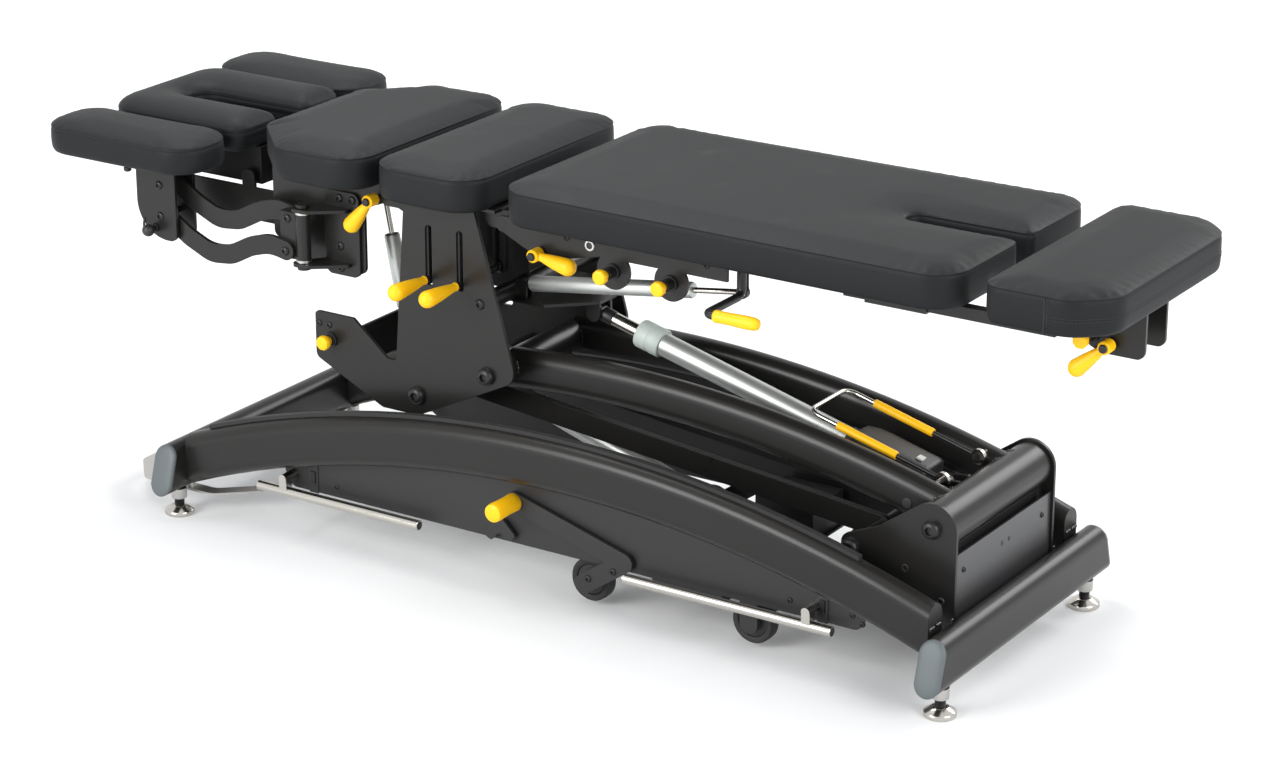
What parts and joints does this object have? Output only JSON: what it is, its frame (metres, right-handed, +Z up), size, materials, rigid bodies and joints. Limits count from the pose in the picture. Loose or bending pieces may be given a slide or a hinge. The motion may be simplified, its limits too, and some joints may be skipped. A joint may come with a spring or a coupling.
{
  "type": "mobilisation table",
  "caption": "Motor-lifted treatment table with padded sections that tilt, a face slot, adjustable armrests and a sliding foot leaf, on an arched tubular base with foot bars and wheels",
  "frame": {"origin": "on the floor, in the middle of the overall length and width", "axes": "+X towards the foot end, +Y towards the side away from the hand levers, +Z up"},
  "size_m": [2.047, 0.624, 0.731],
  "materials": {
    "frame_paint": "satin graphite powder coat",
    "panel_paint": "satin dark sheet steel",
    "chrome": "bright chrome plate",
    "steel": "brushed stainless flat bar",
    "silver": "satin silver tube",
    "cap_plastic": "slate grey moulded plastic",
    "black_plastic": "black moulded plastic",
    "rubber": "black rubber",
    "yellow_plastic": "amber yellow moulded plastic",
    "vinyl": "dark slate grey coated upholstery"
  },
  "bodies": {
    "base": {"side_rails": "frame_paint", "cross_tubes": "frame_paint", "end_caps": "cap_plastic", "levelling_feet": "chrome", "side_panels": "panel_paint", "pivot_brackets": "frame_paint", "rear_cover": "panel_paint", "safety_strips": "rubber", "control_box": "black_plastic", "end_hoop": "steel"},
    "lift_arms": {"lift_arms": "frame_paint"},
    "safety_bail": {"safety_bail": "chrome"},
    "lower_links": {"lower_links": "frame_paint"},
    "column": {"column_plates": "frame_paint", "column_web": "frame_paint", "top_carrier": "frame_paint", "mid_pad": "vinyl"},
    "lower_actuator": {"lower_actuator": "silver"},
    "lower_actuator_rod": {"lower_actuator_rod": "chrome"},
    "upper_actuator": {"upper_actuator": "silver"},
    "upper_actuator_rod": {"upper_actuator_rod": "chrome"},
    "chest": {"chest_frame": "frame_paint", "chest_pad": "vinyl", "armrest_mounts": "frame_paint"},
    "chest_gas_tube": {"chest_gas_tube": "silver"},
    "chest_gas_rod": {"chest_gas_rod": "chrome"},
    "chest_handle": {"chest_handle": "yellow_plastic"},
    "head": {"head_pad": "vinyl", "head_box": "frame_paint"},
    "leg": {"leg_frame": "frame_paint", "leg_pad": "vinyl"},
    "leg_gas_tube": {"leg_gas_tube": "silver"},
    "leg_gas_rod": {"leg_gas_rod": "chrome"},
    "leg_handle": {"leg_handle": "yellow_plastic"},
    "leg_crank": {"leg_crank": "black_plastic"},
    "leg_plunger_a": {"leg_plunger_a": "yellow_plastic"},
    "leg_plunger_b": {"leg_plunger_b": "yellow_plastic"},
    "leaf": {"leaf_pad": "vinyl", "leaf_frame": "frame_paint"},
    "leaf_plunger": {"leaf_plunger": "yellow_plastic"},
    "leaf_lever": {"leaf_lever": "yellow_plastic"},
    "column_plunger": {"column_plunger": "yellow_plastic"},
    "lock_lever_a": {"lock_lever_a": "yellow_plastic"},
    "lock_lever_b": {"lock_lever_b": "yellow_plastic"},
    "foot_bars_front": {"foot_bars_front": "chrome"},
    "foot_bars_rear": {"foot_bars_rear": "chrome"},
    "wheel_pedals": {"wheel_pedals": "frame_paint"},
    "front_wheels": {"front_wheels": "rubber"},
    "rear_wheels": {"rear_wheels": "rubber"},
    "pedal_latches": {"pedal_latches": "frame_paint"},
    "armrest_post_near": {"armrest_post_near": "frame_paint"},
    "armrest_lower_link_near": {"armrest_lower_link_near": "frame_paint"},
    "armrest_upper_link_near": {"armrest_upper_link_near": "frame_paint"},
    "armrest_carrier_near": {"armrest_carrier_near": "frame_paint", "armrest_pad_near": "vinyl"},
    "armrest_post_far": {"armrest_post_far": "frame_paint"},
    "armrest_lower_link_far": {"armrest_lower_link_far": "frame_paint"},
    "armrest_upper_link_far": {"armrest_upper_link_far": "frame_paint"},
    "armrest_carrier_far": {"armrest_carrier_far": "frame_paint", "armrest_pad_far": "vinyl"}
  },
  "joints": [
    {"name": "lift", "type": "hinge", "parent": "base", "child": "lift_arms", "pos_m": [0.7115, 0, 0.274], "axis": [0, 1, 0], "range_deg": [-10, 18]},
    {"name": "column_level", "type": "hinge", "parent": "lift_arms", "child": "column", "pos_m": [-0.1475, 0, 0.363], "axis": [0, 1, 0], "range_deg": [-18.02, 10.01]},
    {"name": "lower_link_turn", "type": "hinge", "parent": "base", "child": "lower_links", "pos_m": [0.5645, 0, 0.211], "axis": [0, 1, 0], "range_deg": [-10.01, 18.02]},
    {"name": "lower_actuator_turn", "type": "hinge", "parent": "base", "child": "lower_actuator", "pos_m": [0.3235, 0, 0.098], "axis": [0, 1, 0], "range_deg": [-12.62, 22.71]},
    {"name": "lower_actuator_stroke", "type": "slide", "parent": "lower_actuator", "child": "lower_actuator_rod", "axis": [-0.9505, 0, 0.3107], "range_m": [-0.03388, 0.06097]},
    {"name": "upper_actuator_turn", "type": "hinge", "parent": "lift_arms", "child": "upper_actuator", "pos_m": [0.6405, 0, 0.27], "axis": [0, 1, 0], "range_deg": [-1.06, 1.9]},
    {"name": "upper_actuator_stroke", "type": "slide", "parent": "upper_actuator", "child": "upper_actuator_rod", "axis": [-0.9664, 0, 0.257], "range_m": [-0.02045, 0.0368]},
    {"name": "safety_bail_lift", "type": "hinge", "parent": "lift_arms", "child": "safety_bail", "pos_m": [0.6685, 0, 0.312], "axis": [0, 1, 0], "range_deg": [0, 10]},
    {"name": "chest_tilt", "type": "hinge", "parent": "column", "child": "chest", "pos_m": [-0.3635, 0, 0.641], "axis": [0, 1, 0], "range_deg": [-12, 10]},
    {"name": "chest_gas_turn", "type": "hinge", "parent": "column", "child": "chest_gas_tube", "pos_m": [-0.4035, -0.06, 0.39], "axis": [0, 1, 0], "range_deg": [-1.02, 1.22]},
    {"name": "chest_gas_stroke", "type": "slide", "parent": "chest_gas_tube", "child": "chest_gas_rod", "axis": [-0.1926, 0, 0.9813], "range_m": [-0.0181, 0.01509]},
    {"name": "chest_handle_pull", "type": "hinge", "parent": "chest", "child": "chest_handle", "pos_m": [-0.3885, -0.15, 0.634], "axis": [0, -1, 0], "range_deg": [0, 12], "stiffness_Nm_per_rad": 2},
    {"name": "head_tilt", "type": "hinge", "parent": "chest", "child": "head", "pos_m": [-0.7135, 0, 0.606], "axis": [0, 1, 0], "range_deg": [-18, 15]},
    {"name": "armrest_swivel_near", "type": "hinge", "parent": "chest", "child": "armrest_post_near", "pos_m": [-0.5215, -0.195, 0.506], "axis": [0, 0, 1], "range_deg": [0, 60]},
    {"name": "armrest_height_near", "type": "hinge", "parent": "armrest_post_near", "child": "armrest_lower_link_near", "pos_m": [-0.5495, -0.195, 0.525], "axis": [0, 1, 0], "range_deg": [-12, 10]},
    {"name": "armrest_upper_turn_near", "type": "hinge", "parent": "armrest_post_near", "child": "armrest_upper_link_near", "pos_m": [-0.5495, -0.195, 0.582], "axis": [0, 1, 0], "range_deg": [-12.01, 10.01]},
    {"name": "armrest_level_near", "type": "hinge", "parent": "armrest_lower_link_near", "child": "armrest_carrier_near", "pos_m": [-0.8215, -0.195, 0.545], "axis": [0, 1, 0], "range_deg": [-10.01, 12.01]},
    {"name": "armrest_swivel_far", "type": "hinge", "parent": "chest", "child": "armrest_post_far", "pos_m": [-0.5215, 0.195, 0.506], "axis": [0, 0, -1], "range_deg": [0, 60]},
    {"name": "armrest_height_far", "type": "hinge", "parent": "armrest_post_far", "child": "armrest_lower_link_far", "pos_m": [-0.5495, 0.195, 0.525], "axis": [0, 1, 0], "range_deg": [-12, 10]},
    {"name": "armrest_upper_turn_far", "type": "hinge", "parent": "armrest_post_far", "child": "armrest_upper_link_far", "pos_m": [-0.5495, 0.195, 0.582], "axis": [0, 1, 0], "range_deg": [-12.01, 10.01]},
    {"name": "armrest_level_far", "type": "hinge", "parent": "armrest_lower_link_far", "child": "armrest_carrier_far", "pos_m": [-0.8215, 0.195, 0.545], "axis": [0, 1, 0], "range_deg": [-10.01, 12.01]},
    {"name": "leg_tilt", "type": "hinge", "parent": "column", "child": "leg", "pos_m": [-0.1095, 0, 0.641], "axis": [0, -1, 0], "range_deg": [-8, 20]},
    {"name": "leg_gas_turn", "type": "hinge", "parent": "column", "child": "leg_gas_tube", "pos_m": [-0.1395, -0.075, 0.503], "axis": [0, 1, 0], "range_deg": [-17.33, 6.93]},
    {"name": "leg_gas_stroke", "type": "slide", "parent": "leg_gas_tube", "child": "leg_gas_rod", "axis": [0.9897, 0, 0.143], "range_m": [-0.01771, 0.04426]},
    {"name": "leg_handle_pull", "type": "hinge", "parent": "leg", "child": "leg_handle", "pos_m": [-0.0315, -0.174, 0.605], "axis": [0, -1, 0], "range_deg": [0, 10], "stiffness_Nm_per_rad": 2},
    {"name": "leg_crank_turn", "type": "hinge", "parent": "leg", "child": "leg_crank", "pos_m": [0.3405, -0.15, 0.59], "axis": [0, 0, 1], "range_deg": [-25, 25]},
    {"name": "leg_plunger_a_pull", "type": "slide", "parent": "leg", "child": "leg_plunger_a", "axis": [0, -1, 0], "range_m": [0, 0.008], "stiffness_N_per_m": 400},
    {"name": "leg_plunger_b_pull", "type": "slide", "parent": "leg", "child": "leg_plunger_b", "axis": [0, -1, 0], "range_m": [0, 0.008], "stiffness_N_per_m": 400},
    {"name": "leaf_slide", "type": "slide", "parent": "leg", "child": "leaf", "axis": [1, 0, 0], "range_m": [0, 0.1]},
    {"name": "leaf_plunger_pull", "type": "slide", "parent": "leaf", "child": "leaf_plunger", "axis": [0, -1, 0], "range_m": [0, 0.008], "stiffness_N_per_m": 400},
    {"name": "leaf_lever_turn", "type": "hinge", "parent": "leaf", "child": "leaf_lever", "pos_m": [0.9425, -0.04, 0.59], "axis": [0, 1, 0], "range_deg": [-15, 10]},
    {"name": "column_plunger_pull", "type": "slide", "parent": "column", "child": "column_plunger", "axis": [0, -1, 0], "range_m": [0, 0.008], "stiffness_N_per_m": 400},
    {"name": "lock_lever_a_lift", "type": "hinge", "parent": "column", "child": "lock_lever_a", "pos_m": [-0.2645, -0.06, 0.518], "axis": [-1, 0, 0], "range_deg": [0, 20]},
    {"name": "lock_lever_b_lift", "type": "hinge", "parent": "column", "child": "lock_lever_b", "pos_m": [-0.1995, -0.06, 0.518], "axis": [-1, 0, 0], "range_deg": [0, 20]},
    {"name": "foot_bars_front_press", "type": "hinge", "parent": "base", "child": "foot_bars_front", "pos_m": [-0.5435, 0, 0.114], "axis": [0, 1, 0], "range_deg": [-4, 4], "stiffness_Nm_per_rad": 60},
    {"name": "foot_bars_rear_press", "type": "hinge", "parent": "base", "child": "foot_bars_rear", "pos_m": [0.5265, 0, 0.114], "axis": [0, 1, 0], "range_deg": [-4, 4], "stiffness_Nm_per_rad": 60},
    {"name": "wheel_pedal_press", "type": "hinge", "parent": "base", "child": "wheel_pedals", "pos_m": [0.1605, 0, 0.106], "axis": [0, -1, 0], "range_deg": [0, 7]},
    {"name": "front_wheels_spin", "type": "hinge", "parent": "wheel_pedals", "child": "front_wheels", "pos_m": [0.0785, 0, 0.049], "axis": [0, 1, 0], "continuous": true},
    {"name": "rear_wheels_spin", "type": "hinge", "parent": "base", "child": "rear_wheels", "pos_m": [0.3985, 0, 0.049], "axis": [0, 1, 0], "continuous": true},
    {"name": "pedal_latch_turn", "type": "hinge", "parent": "base", "child": "pedal_latches", "pos_m": [-0.0935, 0, 0.122], "axis": [0, 1, 0], "range_deg": [-10, 0]}
  ],
  "couplings": [
    {"joint": "column_level", "follows": "lift", "ratio": -1},
    {"joint": "lower_link_turn", "follows": "lift", "ratio": 1},
    {"joint": "lower_actuator_turn", "follows": "lift", "ratio": 1.2606},
    {"joint": "lower_actuator_stroke", "follows": "lift", "m_per_rad": 0.19385},
    {"joint": "upper_actuator_turn", "follows": "lift", "ratio": 0.10555},
    {"joint": "upper_actuator_stroke", "follows": "lift", "m_per_rad": 0.11698},
    {"joint": "chest_gas_turn", "follows": "chest_tilt", "ratio": -0.10149},
    {"joint": "chest_gas_stroke", "follows": "chest_tilt", "m_per_rad": 0.086305},
    {"joint": "armrest_upper_turn_near", "follows": "armrest_height_near", "ratio": 1},
    {"joint": "armrest_level_near", "follows": "armrest_height_near", "ratio": -1},
    {"joint": "armrest_upper_turn_far", "follows": "armrest_height_far", "ratio": 1},
    {"joint": "armrest_level_far", "follows": "armrest_height_far", "ratio": -1},
    {"joint": "leg_gas_turn", "follows": "leg_tilt", "ratio": -0.86576},
    {"joint": "leg_gas_stroke", "follows": "leg_tilt", "m_per_rad": 0.12665}
  ]
}
